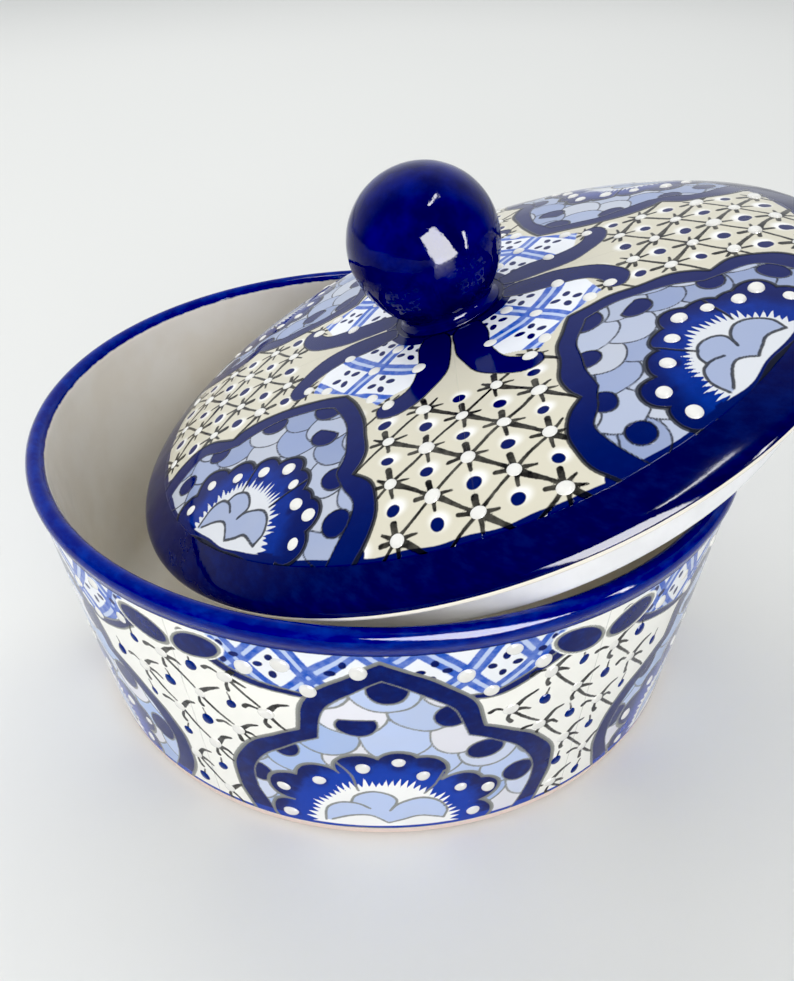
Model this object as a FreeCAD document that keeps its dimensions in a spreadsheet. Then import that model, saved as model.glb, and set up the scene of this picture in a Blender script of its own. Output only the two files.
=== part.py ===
import FreeCAD, Part
import math
import os

import Sketcher

# Covered ceramic casserole, in millimetres.
# +Z is up and the origin is the centre of the dish's flat base.
# The lid leans: its low edge hangs inside the mouth on the -X side, and its
# high edge stands out past the rim on the +X side.
# The lid, its flange and its knob share a frame of their own, with its origin at
# the centre of the flange's lowest circle and its axis along the lid's axis.

SIZES = [
    # dish: radii and heights of the section
    ("foot_radius", 126.4),
    ("foot_round", 2.0),
    ("shoulder_radius", 138.2),
    ("shoulder_height", 104.1),
    ("rim_crest_radius", 135.9),
    ("rim_round", 4.2),
    ("dish_height", 111.8),
    ("mouth_radius", 132.6),
    ("mouth_height", 108.0),
    ("mouth_round", 4.4),
    ("inner_foot_radius", 121.3),
    ("inner_foot_height", 20.0),
    ("floor_radius", 106.0),
    ("floor_height", 7.5),
    ("floor_round", 19.0),
    # lid: radii and heights of the section, in the lid's own frame
    ("seat_radius", 22.0),
    ("crown_height", 48.2),
    ("crown_round", 976.0),
    ("bend_radius", 90.0),
    ("bend_height", 44.3),
    ("bend_round", 125.0),
    ("brim_radius", 139.9),
    ("brim_height", 28.7),
    ("brim_round", 3.2),
    ("brim_low_radius", 138.3),
    ("ledge_height", 22.7),
    ("ledge_radius", 118.5),
    ("hollow_radius", 85.0),
    ("hollow_height", 37.2),
    ("hollow_round", 55.0),
    ("ceiling_height", 41.2),
    ("ceiling_round", 905.0),
    # locating flange under the lid
    ("flange_radius", 125.0),
    ("flange_low_radius", 123.2),
    ("flange_bore_low", 118.2),
    ("flange_lip", 2.5),
    ("flange_round", 2.7),
    # ball knob
    ("neck_radius", 17.0),
    ("neck_height", 51.2),
    ("neck_round", 4.2),
    ("ball_radius", 28.3),
    ("ball_height", 76.0),
    ("ball_low_round", 32.9),
    ("ball_high_round", 28.0),
    ("ball_top", 104.0),
    # how the lid leans on the dish
    ("lean_angle", 21.6),
    ("lean_shift", 42.9),
    ("lean_height", 105.6),
    # raised dabs of slip: base radius and height of each sort
    ("swag_dab", 3.0),
    ("fan_dab", 2.6),
    ("cross_dab", 2.5),
    ("blue_dab", 2.0),
    ("lid_dab", 2.6),
    ("dab_rise", 0.6),
    # how far round each piece's pattern is turned, in degrees
    ("dish_turn", 32.8),
    ("lid_turn", 46.5),
    # where the wall's pattern starts and where the lid's plain band starts
    ("foot_line", 6.0),
    ("band_radius", 126.5),
]

DISH_PANELS = 6
LID_PANELS = 4
# Pieces turned from arcs wider than their distance from the axis, which STEP can't
# hold as plain tori, so they are written as spline surfaces.
SPLINE_PIECES = ("lid_dome", "lid_knob")
DAB_MARGIN = 3.4
SWAG_CLEARANCE = 7.0

# The medallions' outer edge: height above their base line, then half width.
DISH_MEDALLION = [(0, 55), (8, 57.5), (21, 59), (34, 56), (44, 48), (52, 38), (57, 30),
                  (70, 28), (76, 23.5), (83, 16), (93.5, 0)]
LID_MEDALLION = [(0, 58), (13, 58.5), (24.5, 57), (35.5, 48), (38, 36.5), (44, 35),
                 (51, 30), (61, 17), (69.5, 0)]

# Dabs of the plaid swag over each dish medallion: distance round the wall, height.
# It was trailed by hand, so its two sides differ.
SWAG_DABS = [(-43.5, 90.5), (-31.5, 95.0), (-24.0, 84.0), (-8.5, 94.5),
             (23.0, 90.5), (31.5, 81.0), (37.0, 99.0), (47.5, 89.5)]
# Lower edge of the swag: distance round the wall from the medallion's middle, height.
SWAG_FLOOR = [(0, 100), (13, 86), (30, 77.5), (38, 79), (46, 83), (53, 88), (62, 88), (140, 88)]
# Dabs of the plaid patch between the knob and each lid medallion: across, outward.
CROWN_DABS = [(0.0, 29.5), (0.0, 43.0), (13.0, 57.0), (-13.0, 57.0), (19.5, 38.0), (-19.5, 38.0)]
# Dabs of each fan, three to a lobe: across and height, or across and outward.
DISH_FAN_DABS = [(-37.5, 10.4), (-38.5, 26.5), (-24.5, 34.5), (-9.0, 44.0), (3.0, 47.3),
                 (11.5, 38.6), (25.0, 28.6), (35.5, 25.0), (31.0, 11.3)]
LID_FAN_DABS = [(-28.0, 119.5), (-25.5, 109.0), (-14.0, 103.5), (-3.0, 98.5), (7.5, 94.5),
                (15.5, 99.5), (23.5, 105.5), (31.5, 107.0), (33.0, 117.0)]

# The dish lattice: column step in degrees, row step and lowest row in millimetres.
DISH_COLUMN = 5.2
DISH_ROW = 14.0
DISH_FIRST_ROW = 12.5
DISH_MID_RADIUS = 132.0
# The lid lattice: steps across and outward, and the row that it is counted from.
LID_COLUMN = 12.5
LID_ROW = 10.5
LID_MAIN_ROW = 99.5
LID_LATTICE_INNER = 58.0
LID_LATTICE_OUTER = 124.0

doc = FreeCAD.newDocument("covered_casserole")


def make_sheet():
    """The spreadsheet of driving dimensions, one alias to a row."""
    sheet = doc.addObject("Spreadsheet::Sheet", "Sizes")
    for row, (alias, number) in enumerate(SIZES, start=1):
        sheet.set("A%d" % row, alias)
        sheet.set("B%d" % row, str(number))
        sheet.setAlias("B%d" % row, alias)
    doc.recompute()
    return sheet


SHEET = make_sheet()


def size(alias):
    """One driving dimension, read from the sheet."""
    return float(SHEET.get(alias))


def total(terms):
    """The value of text such as "dish_height - rim_round"."""
    value = 0.0
    sign = 1.0
    for word in terms.split():
        if word == "+":
            sign = 1.0
        elif word == "-":
            sign = -1.0
        else:
            value += sign * size(word)
    return value


def formula(terms):
    """The same text as an expression on the sheet's cells."""
    words = [word if word in "+-" else "Sizes." + word for word in terms.split()]
    return " ".join(words)


def arc_centre(start, end, radius, side):
    """Centre of the arc of this radius from start to end; side +1 puts it on the left."""
    across = end - start
    half = across.Length / 2.0
    rise = math.sqrt(radius * radius - half * half)
    left = FreeCAD.Vector(-across.y, across.x, 0).normalize()
    return (start + end) * 0.5 + left * (rise * side)


def add_arc(sketch, start, end, radius, side):
    """Add an arc and return its index and the numbers of its start and end points."""
    centre = arc_centre(start, end, radius, side)
    begin = math.atan2(start.y - centre.y, start.x - centre.x)
    finish = math.atan2(end.y - centre.y, end.x - centre.x)
    circle = Part.Circle(centre, FreeCAD.Vector(0, 0, 1), radius)
    if side > 0:
        return sketch.addGeometry(Part.ArcOfCircle(circle, begin, finish), False), 1, 2
    return sketch.addGeometry(Part.ArcOfCircle(circle, finish, begin), False), 2, 1


def pin_point(sketch, index, point, across, up):
    """Fix one end of an edge at named distances from the axis and the base line."""
    if across:
        spot = sketch.addConstraint(
            Sketcher.Constraint("DistanceX", -1, 1, index, point, total(across)))
        sketch.setExpression("Constraints[%d]" % spot, formula(across))
    else:
        sketch.addConstraint(Sketcher.Constraint("PointOnObject", index, point, -2))
    if up:
        spot = sketch.addConstraint(
            Sketcher.Constraint("DistanceY", -1, 1, index, point, total(up)))
        sketch.setExpression("Constraints[%d]" % spot, formula(up))
    else:
        sketch.addConstraint(Sketcher.Constraint("PointOnObject", index, point, -1))


def turned_piece(name, outline):
    """A body turned round the Z axis from a closed outline.

    Each outline entry is (radius terms, height terms, arc), where arc is None for a
    straight run to the next point, or (radius alias, side) for a round one.
    """
    body = doc.addObject("PartDesign::Body", name)
    body.Label = name
    sketch = body.newObject("Sketcher::SketchObject", name + "_section")
    plane = [item for item in body.Origin.OriginFeatures if item.Role == "XZ_Plane"][0]
    sketch.AttachmentSupport = [(plane, "")]
    sketch.MapMode = "FlatFace"
    doc.recompute()
    points = [FreeCAD.Vector(total(across), total(up), 0) for across, up, arc in outline]
    edges = []
    for number, (across, up, arc) in enumerate(outline):
        start = points[number]
        end = points[(number + 1) % len(points)]
        if arc is None:
            index = sketch.addGeometry(Part.LineSegment(start, end), False)
            edges.append((index, 1, 2))
        else:
            edges.append(add_arc(sketch, start, end, size(arc[0]), arc[1]))
    for number, (across, up, arc) in enumerate(outline):
        index, first, last = edges[number]
        before, unused, before_last = edges[number - 1]
        sketch.addConstraint(Sketcher.Constraint("Coincident", before, before_last, index, first))
        pin_point(sketch, index, first, across, up)
        if arc is not None:
            spot = sketch.addConstraint(Sketcher.Constraint("Radius", index, size(arc[0])))
            sketch.setExpression("Constraints[%d]" % spot, formula(arc[0]))
    turn = body.newObject("PartDesign::Revolution", name + "_turn")
    turn.Profile = sketch
    turn.ReferenceAxis = (sketch, ["V_Axis"])
    turn.Angle = 360.0
    doc.recompute()
    return body


def lean(piece):
    """Set a lid piece's own frame where the lid leans on the dish."""
    turn = FreeCAD.Rotation(FreeCAD.Vector(0, 1, 0), -size("lean_angle"))
    piece.Placement = FreeCAD.Placement(FreeCAD.Vector(0, 0, 0), turn)
    piece.setExpression("Placement.Base.x", "Sizes.lean_shift")
    piece.setExpression("Placement.Base.z", "Sizes.lean_height")


def make_dish():
    """The thrown dish: flat base, flared wall and rolled rim."""
    return turned_piece("dish_body", [
        ("", "", None),
        ("foot_radius - foot_round", "", ("foot_round", 1)),
        ("foot_radius", "foot_round", None),
        ("shoulder_radius", "shoulder_height", ("rim_round", 1)),
        ("rim_crest_radius", "dish_height", ("mouth_round", 1)),
        ("mouth_radius", "mouth_height", None),
        ("inner_foot_radius", "inner_foot_height", ("floor_round", -1)),
        ("floor_radius", "floor_height", None),
        ("", "floor_height", None),
    ])


def make_lid():
    """The lid's low dome with its rounded brim, hollow underneath."""
    lid = turned_piece("lid_dome", [
        ("", "ceiling_height", ("ceiling_round", -1)),
        ("hollow_radius", "hollow_height", ("hollow_round", -1)),
        ("ledge_radius", "ledge_height", None),
        ("brim_low_radius", "ledge_height", ("brim_round", 1)),
        ("brim_radius", "brim_height", ("bend_round", 1)),
        ("bend_radius", "bend_height", ("crown_round", 1)),
        ("seat_radius", "crown_height", None),
        ("", "crown_height", None),
    ])
    lean(lid)
    return lid


def make_flange():
    """The ring under the lid that drops into the dish's mouth."""
    flange = turned_piece("lid_flange", [
        ("flange_bore_low", "flange_lip", ("flange_round", 1)),
        ("flange_low_radius", "flange_lip", None),
        ("flange_radius", "ledge_height", None),
        ("ledge_radius", "ledge_height", None),
    ])
    lean(flange)
    return flange


def make_knob():
    """The slightly egg-shaped ball knob on its short flared neck."""
    knob = turned_piece("lid_knob", [
        ("", "crown_height", None),
        ("seat_radius", "crown_height", ("neck_round", -1)),
        ("neck_radius", "neck_height", ("ball_low_round", 1)),
        ("ball_radius", "ball_height", ("ball_high_round", 1)),
        ("", "ball_top", None),
    ])
    lean(knob)
    return knob


def read_outline(outline, place):
    """Value of an outline at a place along it, such as a half width at a height."""
    for (low, low_value), (high, high_value) in zip(outline, outline[1:]):
        if low <= place <= high:
            share = (place - low) / (high - low)
            return low_value + share * (high_value - low_value)
    return 0.0


def wall_spot(angle, height):
    """A point on the dish's outer wall and the wall's outward normal there."""
    rise = size("shoulder_height") - size("foot_round")
    flare = (size("shoulder_radius") - size("foot_radius")) / rise
    radius = size("foot_radius") + flare * (height - size("foot_round"))
    turn = math.radians(angle)
    normal = FreeCAD.Vector(math.cos(turn), math.sin(turn), -flare).normalize()
    return FreeCAD.Vector(radius * math.cos(turn), radius * math.sin(turn), height), normal


def dome_section(radius):
    """Height of the dome's top at a radius, and its outward and upward slope."""
    crown = FreeCAD.Vector(size("seat_radius"), size("crown_height"), 0)
    bend = FreeCAD.Vector(size("bend_radius"), size("bend_height"), 0)
    brim = FreeCAD.Vector(size("brim_radius"), size("brim_height"), 0)
    if radius < bend.x:
        round_size = size("crown_round")
        centre = arc_centre(bend, crown, round_size, 1)
    else:
        round_size = size("bend_round")
        centre = arc_centre(brim, bend, round_size, 1)
    across = radius - centre.x
    up = math.sqrt(round_size * round_size - across * across)
    return centre.y + up, across / round_size, up / round_size


def dome_spot(angle, radius):
    """A point on the lid's top and its normal, in the dish's frame."""
    height, out, up = dome_section(radius)
    turn = math.radians(angle)
    point = FreeCAD.Vector(radius * math.cos(turn), radius * math.sin(turn), height)
    normal = FreeCAD.Vector(out * math.cos(turn), out * math.sin(turn), up)
    tilt = FreeCAD.Rotation(FreeCAD.Vector(0, 1, 0), -size("lean_angle"))
    shift = FreeCAD.Vector(size("lean_shift"), 0, size("lean_height"))
    return tilt.multVec(point) + shift, tilt.multVec(normal)


def dab(spot, base):
    """One rounded dab of slip: a low cap with a flat base on the glaze."""
    point, normal = spot
    rise = base * size("dab_rise")
    radius = (base * base + rise * rise) / (2.0 * rise)
    cut = math.degrees(math.asin((radius - rise) / radius))
    cap = Part.makeSphere(radius, FreeCAD.Vector(), FreeCAD.Vector(0, 0, 1), cut, 90, 360)
    cap.translate(FreeCAD.Vector(0, 0, rise - radius))
    turn = FreeCAD.Rotation(FreeCAD.Vector(0, 0, 1), normal)
    cap.Placement = FreeCAD.Placement(point, turn).multiply(cap.Placement)
    return cap


def dab_group(name, spots, base):
    """A named group of equal dabs, one solid each."""
    group = doc.addObject("Part::Feature", name)
    group.Label = name
    group.Shape = Part.makeCompound([dab(spot, size(base)) for spot in spots])
    return group


def dish_middle(panel):
    """Azimuth of the middle of one of the dish's medallions."""
    return size("dish_turn") + 360.0 / DISH_PANELS * panel


def wall_spots(panel, places):
    """Spots on the wall at places given as (round from the medallion's middle, height)."""
    return [wall_spot(dish_middle(panel) + math.degrees(across / DISH_MID_RADIUS), height)
            for across, height in places]


def is_free(across, height):
    """True where a lattice dab clears the medallion and the swag, with its dabs."""
    edge = read_outline(DISH_MEDALLION, height - size("foot_line"))
    swag_gaps = [math.hypot(across - dab_across, height - dab_height)
                 for dab_across, dab_height in SWAG_DABS]
    below_swag = height < read_outline(SWAG_FLOOR, abs(across))
    return abs(across) > edge + DAB_MARGIN and below_swag and min(swag_gaps) > SWAG_CLEARANCE


def dish_lattice(panel, blue):
    """Lattice places after one medallion: the crossings, or the cells' centres."""
    places = []
    pitch = math.radians(360.0 / DISH_PANELS) * DISH_MID_RADIUS
    for column in range(-6, 6):
        across = pitch / 2 + math.radians((column + 0.5) * DISH_COLUMN) * DISH_MID_RADIUS
        for row in range(6):
            height = DISH_FIRST_ROW + row * DISH_ROW
            even = (column + row + panel) % 2 == 0
            if even == blue and is_free(across, height) and is_free(across - pitch, height):
                places.append((across, height))
    return wall_spots(panel, places)


def lid_lattice(panel):
    """Lattice crossings on the lid between two medallions."""
    spots = []
    middle = size("lid_turn") + 90.0 * panel + 45.0
    for column in range(-3, 4):
        for row in range(-4, 3):
            across = column * LID_COLUMN
            outward = LID_MAIN_ROW + row * LID_ROW
            radius = math.hypot(across, outward)
            offset = math.degrees(math.atan2(across, outward))
            aside = math.radians(45.0 - abs(offset))
            depth = size("band_radius") - radius * math.cos(aside)
            edge = read_outline(LID_MEDALLION, depth)
            crossing = (column + row) % 2 == 0
            inside = LID_LATTICE_INNER < radius < LID_LATTICE_OUTER
            if crossing and inside and radius * math.sin(aside) > edge + DAB_MARGIN:
                spots.append(dome_spot(middle + offset, radius))
    return spots


def lid_spots(panel, places):
    """Spots on the lid at places across and outward along a medallion's middle line."""
    spots = []
    for across, outward in places:
        offset = math.degrees(math.atan2(across, outward))
        angle = size("lid_turn") + 360.0 / LID_PANELS * panel + offset
        spots.append(dome_spot(angle, math.hypot(across, outward)))
    return spots


def make_dish_dabs(panel):
    """The raised dabs of one of the dish's panels."""
    number = panel + 1
    return [
        dab_group("dish_swag_beads_%d" % number, wall_spots(panel, SWAG_DABS), "swag_dab"),
        dab_group("dish_fan_beads_%d" % number, wall_spots(panel, DISH_FAN_DABS), "fan_dab"),
        dab_group("dish_white_beads_%d" % number, dish_lattice(panel, False), "cross_dab"),
        dab_group("dish_blue_beads_%d" % number, dish_lattice(panel, True), "blue_dab"),
    ]


def make_lid_dabs(panel):
    """The raised dabs of one of the lid's panels."""
    number = panel + 1
    return [
        dab_group("lid_crown_beads_%d" % number, lid_spots(panel, CROWN_DABS), "lid_dab"),
        dab_group("lid_fan_beads_%d" % number, lid_spots(panel, LID_FAN_DABS), "lid_dab"),
        dab_group("lid_white_beads_%d" % number, lid_lattice(panel), "lid_dab"),
    ]


def check_and_write(pieces):
    """Stop on any failed object or bad shape, then write one STEP file a piece."""
    for item in doc.Objects:
        if "Invalid" in item.State or "Error" in item.State:
            raise RuntimeError("%s failed: %s" % (item.Name, item.State))
    for piece in pieces:
        if piece.Shape.isNull() or not piece.Shape.isValid():
            raise RuntimeError("%s has a bad shape" % piece.Label)
    os.makedirs("parts", exist_ok=True)
    for piece in pieces:
        shape = piece.Shape
        if piece.Label in SPLINE_PIECES:
            shape = shape.toNurbs()
        shape.exportStep("parts/%s.step" % piece.Label)
        print(piece.Label, len(shape.Solids), round(shape.Volume))


pieces = [make_dish(), make_lid(), make_flange(), make_knob()]
for panel in range(DISH_PANELS):
    pieces += make_dish_dabs(panel)
for panel in range(LID_PANELS):
    pieces += make_lid_dabs(panel)
doc.recompute()
check_and_write(pieces)
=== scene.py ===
import copy
import math

import bmesh
import bpy
import numpy as np
from mathutils import Matrix, Vector


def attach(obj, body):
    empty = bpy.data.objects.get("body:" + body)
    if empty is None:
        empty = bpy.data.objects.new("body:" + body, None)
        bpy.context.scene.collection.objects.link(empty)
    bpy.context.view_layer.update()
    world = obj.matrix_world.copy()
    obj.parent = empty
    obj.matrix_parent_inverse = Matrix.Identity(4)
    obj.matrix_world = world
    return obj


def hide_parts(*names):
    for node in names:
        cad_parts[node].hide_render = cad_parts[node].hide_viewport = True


# Looks of the leaning covered casserole: glazed pots, hand-painted panels, raised dabs.
# Painting is worked out in millimetres. Meshes are turned to metres as they are made.

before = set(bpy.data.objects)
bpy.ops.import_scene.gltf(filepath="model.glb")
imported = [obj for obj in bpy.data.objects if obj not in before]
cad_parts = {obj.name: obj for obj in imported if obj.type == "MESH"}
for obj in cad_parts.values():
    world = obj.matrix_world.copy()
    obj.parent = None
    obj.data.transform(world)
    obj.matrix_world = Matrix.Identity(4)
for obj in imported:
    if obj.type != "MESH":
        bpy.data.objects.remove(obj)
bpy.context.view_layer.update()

MM = 0.001
DISH_PANELS = 6
LID_PANELS = 4
LID_STEP = 360.0 / LID_PANELS

# Distances from paint where there is none: on a canvas, and as the meshes keep it.
FAR = 99.0
CLEAR = 6.0

# How the lid leans on the dish, and how far round each piece's pattern is turned.
LEAN_ANGLE = math.radians(21.6)
LEAN_PLACE = Vector((42.9, 0.0, 105.6))
DISH_TURN = 32.8
LID_TURN = 46.5

# Where the patterns stand on the wall and on the lid.
WALL_MID_RADIUS = 132.0
WALL_FOOT = 2.0
WALL_SHOULDER = 104.1
FOOT_LINE = 6.0
PANEL_FOOT = 5.4
PANEL_TOP = 103.4
LID_PANEL_INNER = 21.6
LID_PANEL_OUTER = 128.5
LID_BAND = 126.5
COAT_PROUD = 0.16
COAT_SUNK = 0.5
DISH_COLUMN = 12.0
DISH_ROW = 14.0
LID_COLUMN = 12.5
LID_ROW = 10.5
PLAID_GAP = 3.9
PLAID_LINE = 2.3

# Half widths of the lines of slip round the painted shapes.
FRAME_LINE = 0.72
INNER_LINE = 0.32
MOON_LINE = 0.35
FAN_LINE = 0.75
SWAG_LINE = 0.4
CRESCENT_LINE = 0.3

# Where the plain paint ends on the rim, the foot and the lid.
RIM_MIDDLE = 133.9
RIM_PAINT_COAT = 102.3
RIM_PAINT_OUTSIDE = 102.4
RIM_PAINT_INSIDE = 108.3
RAW_CLAY_TOP = 5.0
BAND_FOOT = 24.8
KNOB_SEAT = 26.0
KNOB_SEAT_HEIGHT = 44.0
KNOB_SEAT_PAINT = -2.0

LID_FRAME = Matrix.Translation(LEAN_PLACE) @ Matrix.Rotation(-LEAN_ANGLE, 4, "Y")


# ---- numbers and curves

def soft_noise(points, scale, seed):
    """Smooth irregular values of about -1 to 1 over 3-D points in millimetres."""
    chance = np.random.default_rng(seed)
    value = np.zeros(len(points))
    waves, usual_peak = 7, 2.6
    for _ in range(waves):
        direction = chance.normal(size=3)
        direction /= np.linalg.norm(direction)
        rate = 2.0 * math.pi / (scale * chance.uniform(0.7, 1.8))
        value += np.sin(points @ direction * rate + chance.uniform(0.0, 6.28))
    return value / usual_peak


def curve(points, steps=6):
    """A smooth open line through the points (Catmull-Rom)."""
    points = np.array(points, float)
    padded = np.vstack([2 * points[0] - points[1], points, 2 * points[-1] - points[-2]])
    line = [points[0]]
    for number in range(len(points) - 1):
        before, start, end, after = padded[number:number + 4]
        for step in range(1, steps + 1):
            t = step / steps
            line.append(0.5 * (2 * start + (end - before) * t
                               + (2 * before - 5 * start + 4 * end - after) * t * t
                               + (3 * start - before - 3 * end + after) * t ** 3))
    return np.array(line)


def medallion_outline(parts):
    """Closed outline of a medallion from the smooth parts of its right half, top to foot."""
    half = np.vstack([curve(part) for part in parts])
    left = half[::-1] * (-1, 1)
    return np.vstack([half, left[:-1]])


def band(value, low, high):
    """0 below low, 1 above high, smooth between."""
    t = np.clip((value - low) / (high - low), 0.0, 1.0)
    return t * t * (3 - 2 * t)


class Canvas:
    """One painted panel: its vertices' pattern coordinates and its layers of paint.

    Every layer holds a distance in millimetres to the nearest paint of its sort,
    negative inside the paint, so that the shader can draw a crisp edge. The hand's
    wobble belongs to the whole pot and is turned to face the panel, so that
    neighbouring panels meet at their seam.
    """

    LAYERS = ("ink", "line", "navy", "brush")
    WOBBLE = 0.45
    MARGIN = 5.0

    def __init__(self, x, y, points, ground, seed, facing_angle=0.0):
        self.points = points
        wobble_x = self.WOBBLE * soft_noise(points, 17.0, seed)
        wobble_y = self.WOBBLE * soft_noise(points, 15.0, seed + 1)
        c, s = math.cos(facing_angle), math.sin(facing_angle)
        self.x = x - wobble_x * c - wobble_y * s
        self.y = y + wobble_y * c - wobble_x * s
        self.layers = {name: np.full(len(x), FAR) for name in self.LAYERS}
        self.bright = np.zeros(len(x))
        self.ground = np.tile(np.array(ground, float), (len(x), 1))

    def placed(self, x, y):
        """The same paint, drawn on in other pattern coordinates."""
        other = copy.copy(self)
        other.x, other.y = x, y
        return other

    def stroke(self, points, width):
        """Distance to the edge of a brush line, worked out only within a margin of it.

        The width is one number or (start, end).
        """
        x, y = self.x, self.y
        points = np.asarray(points, float)
        start_width, end_width = width if isinstance(width, tuple) else (width, width)
        shares = np.linspace(0.0, 1.0, len(points))
        widths = (start_width + (end_width - start_width) * shares) / 2.0
        field = np.full(len(x), FAR)
        reach = self.MARGIN + max(start_width, end_width)
        for number in range(len(points) - 1):
            (ax, ay), (bx, by) = points[number], points[number + 1]
            near = np.flatnonzero(
                (np.abs(x - (ax + bx) / 2) < abs(bx - ax) / 2 + reach)
                & (np.abs(y - (ay + by) / 2) < abs(by - ay) / 2 + reach))
            if not len(near):
                continue
            dx, dy = bx - ax, by - ay
            px, py = x[near] - ax, y[near] - ay
            t = np.clip((px * dx + py * dy) / max(dx * dx + dy * dy, 1e-9), 0, 1)
            half = widths[number] + (widths[number + 1] - widths[number]) * t
            away = np.hypot(px - t * dx, py - t * dy) - half
            field[near] = np.minimum(field[near], away)
        return field

    def area(self, outline):
        """Signed distance to a closed outline, negative inside."""
        x, y = self.x, self.y
        outline = np.asarray(outline, float)
        closed = np.vstack([outline, outline[:1]])
        inside = np.zeros(len(x), bool)
        for (ax, ay), (bx, by) in zip(closed[:-1], closed[1:]):
            if ay == by:
                continue
            spans = (ay > y) != (by > y)
            crossing = ax + (y - ay) * (bx - ax) / (by - ay)
            inside ^= spans & (x < crossing)
        away = self.stroke(closed, 0.0)
        return np.where(inside, -away, away)

    def oval(self, cx, cy, rx, ry, turn=0.0):
        """Signed distance to an ellipse turned by an angle in degrees."""
        c, s = math.cos(math.radians(turn)), math.sin(math.radians(turn))
        u = ((self.x - cx) * c + (self.y - cy) * s) / rx
        v = ((self.y - cy) * c - (self.x - cx) * s) / ry
        return (np.hypot(u, v) - 1.0) * min(rx, ry)

    def add(self, layer, field, inside=None):
        """Lay paint on a layer, kept inside an area if one is given."""
        if inside is not None:
            field = np.maximum(field, inside)
        self.layers[layer] = np.minimum(self.layers[layer], field)

    def wipe(self, area, ground=None):
        """Take all paint off an area and give it a ground colour."""
        for name in self.LAYERS:
            self.layers[name] = np.maximum(self.layers[name], -area)
        if ground is not None:
            self.ground[area < 0] = ground

    def tint(self, share, colour):
        """Blend the ground towards a colour by a share for each vertex."""
        share = np.clip(share, 0, 1)[:, None]
        self.ground[:] = self.ground * (1 - share) + np.array(colour, float) * share


# ---- colours (linear)

def linear(red, green, blue):
    """Linear colour from 0-255 display values."""
    return [((c / 255 + 0.055) / 1.055) ** 2.4 if c > 10 else c / 255 / 12.92
            for c in (red, green, blue)]


def dimmed(colour, *shares):
    """The colour with its channels dimmed, by one share or by one for each."""
    shares = shares if len(shares) > 1 else shares * 3
    return [channel * share for channel, share in zip(colour, shares)]


DISH_GROUND = linear(250, 249, 242)
# Painted shade: the lid's ground is darker and greyer than the dish's, for the less lit top of
# the lid.
LID_GROUND = linear(214, 209, 190)
CHALK = linear(252, 252, 250)
PLAID_GROUND = linear(240, 243, 248)
DISH_WASHES = [linear(172, 194, 236), linear(190, 206, 240), linear(212, 221, 244),
               linear(232, 232, 240)]
# Painted shade: the lid's washes are darker, greyer copies of the dish's.
LID_WASHES = [linear(146, 160, 196), linear(160, 172, 202), linear(176, 185, 207),
              linear(190, 196, 210)]
PLAID_WASH = linear(176, 196, 236)
NAVY = linear(0, 17, 88)
COBALT = linear(0, 58, 172)
RIM_BLUE = linear(0, 18, 118)
BAND_BLUE = linear(0, 3, 66)
BRUSH_BLUE = linear(22, 82, 190)
LINE_GREY = linear(128, 130, 124)
LINE_DARK = linear(22, 24, 30)
INK = linear(14, 13, 12)
CREAM = linear(246, 241, 230)
FLANGE_WHITE = linear(236, 237, 240)
FOOT_CLAY = linear(232, 212, 202)
BEAD_WHITE = linear(234, 233, 228)
BEAD_BLUE = linear(4, 30, 110)
STAGE_WHITE = linear(228, 228, 225)


# ---- places of the dabs

def welded_islands(node):
    """Middle of each separate solid of a dab node, in millimetres."""
    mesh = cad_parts[node].data
    coords = np.array([vertex.co for vertex in mesh.vertices]) / MM
    spots, weld = np.unique(np.round(coords, 2), axis=0, return_inverse=True)
    weld = weld.reshape(-1)
    edges = weld[np.array([edge.vertices[:] for edge in mesh.edges])]
    label = np.arange(len(spots))
    while True:
        low = np.minimum(label[edges[:, 0]], label[edges[:, 1]])
        before = label.copy()
        np.minimum.at(label, edges[:, 0], low)
        np.minimum.at(label, edges[:, 1], low)
        label = label[label]
        if np.array_equal(before, label):
            break
    middles = []
    for number in np.unique(label):
        cluster = spots[label == number]
        middles.append((cluster.min(0) + cluster.max(0)) / 2)
    return np.array(middles)


def dabs_of(kind):
    """Dab middles of one kind, panel by panel, in the dish's frame."""
    panels = DISH_PANELS if kind.startswith("dish") else LID_PANELS
    return [welded_islands("%s_%d" % (kind, number + 1)) for number in range(panels)]


def in_lid_frame(points):
    """Points in millimetres turned into the lid's own frame."""
    inverse = LID_FRAME.inverted()
    return np.array([inverse @ Vector(point) for point in points])


def turned(points, degrees_round):
    """(across, outward) of lid points seen from a direction round the lid's axis."""
    angle = np.arctan2(points[:, 1], points[:, 0]) - math.radians(degrees_round)
    radius = np.hypot(points[:, 0], points[:, 1])
    return radius * np.sin(angle), radius * np.cos(angle)


DAB_SIZES = {"dish_swag_beads": 3.1, "dish_fan_beads": 2.7, "dish_white_beads": 2.7,
             "dish_blue_beads": 2.5, "lid_crown_beads": 2.7, "lid_fan_beads": 2.6,
             "lid_white_beads": 2.6}
DABS = {kind: dabs_of(kind) for kind in DAB_SIZES}


# ---- medallions

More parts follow.
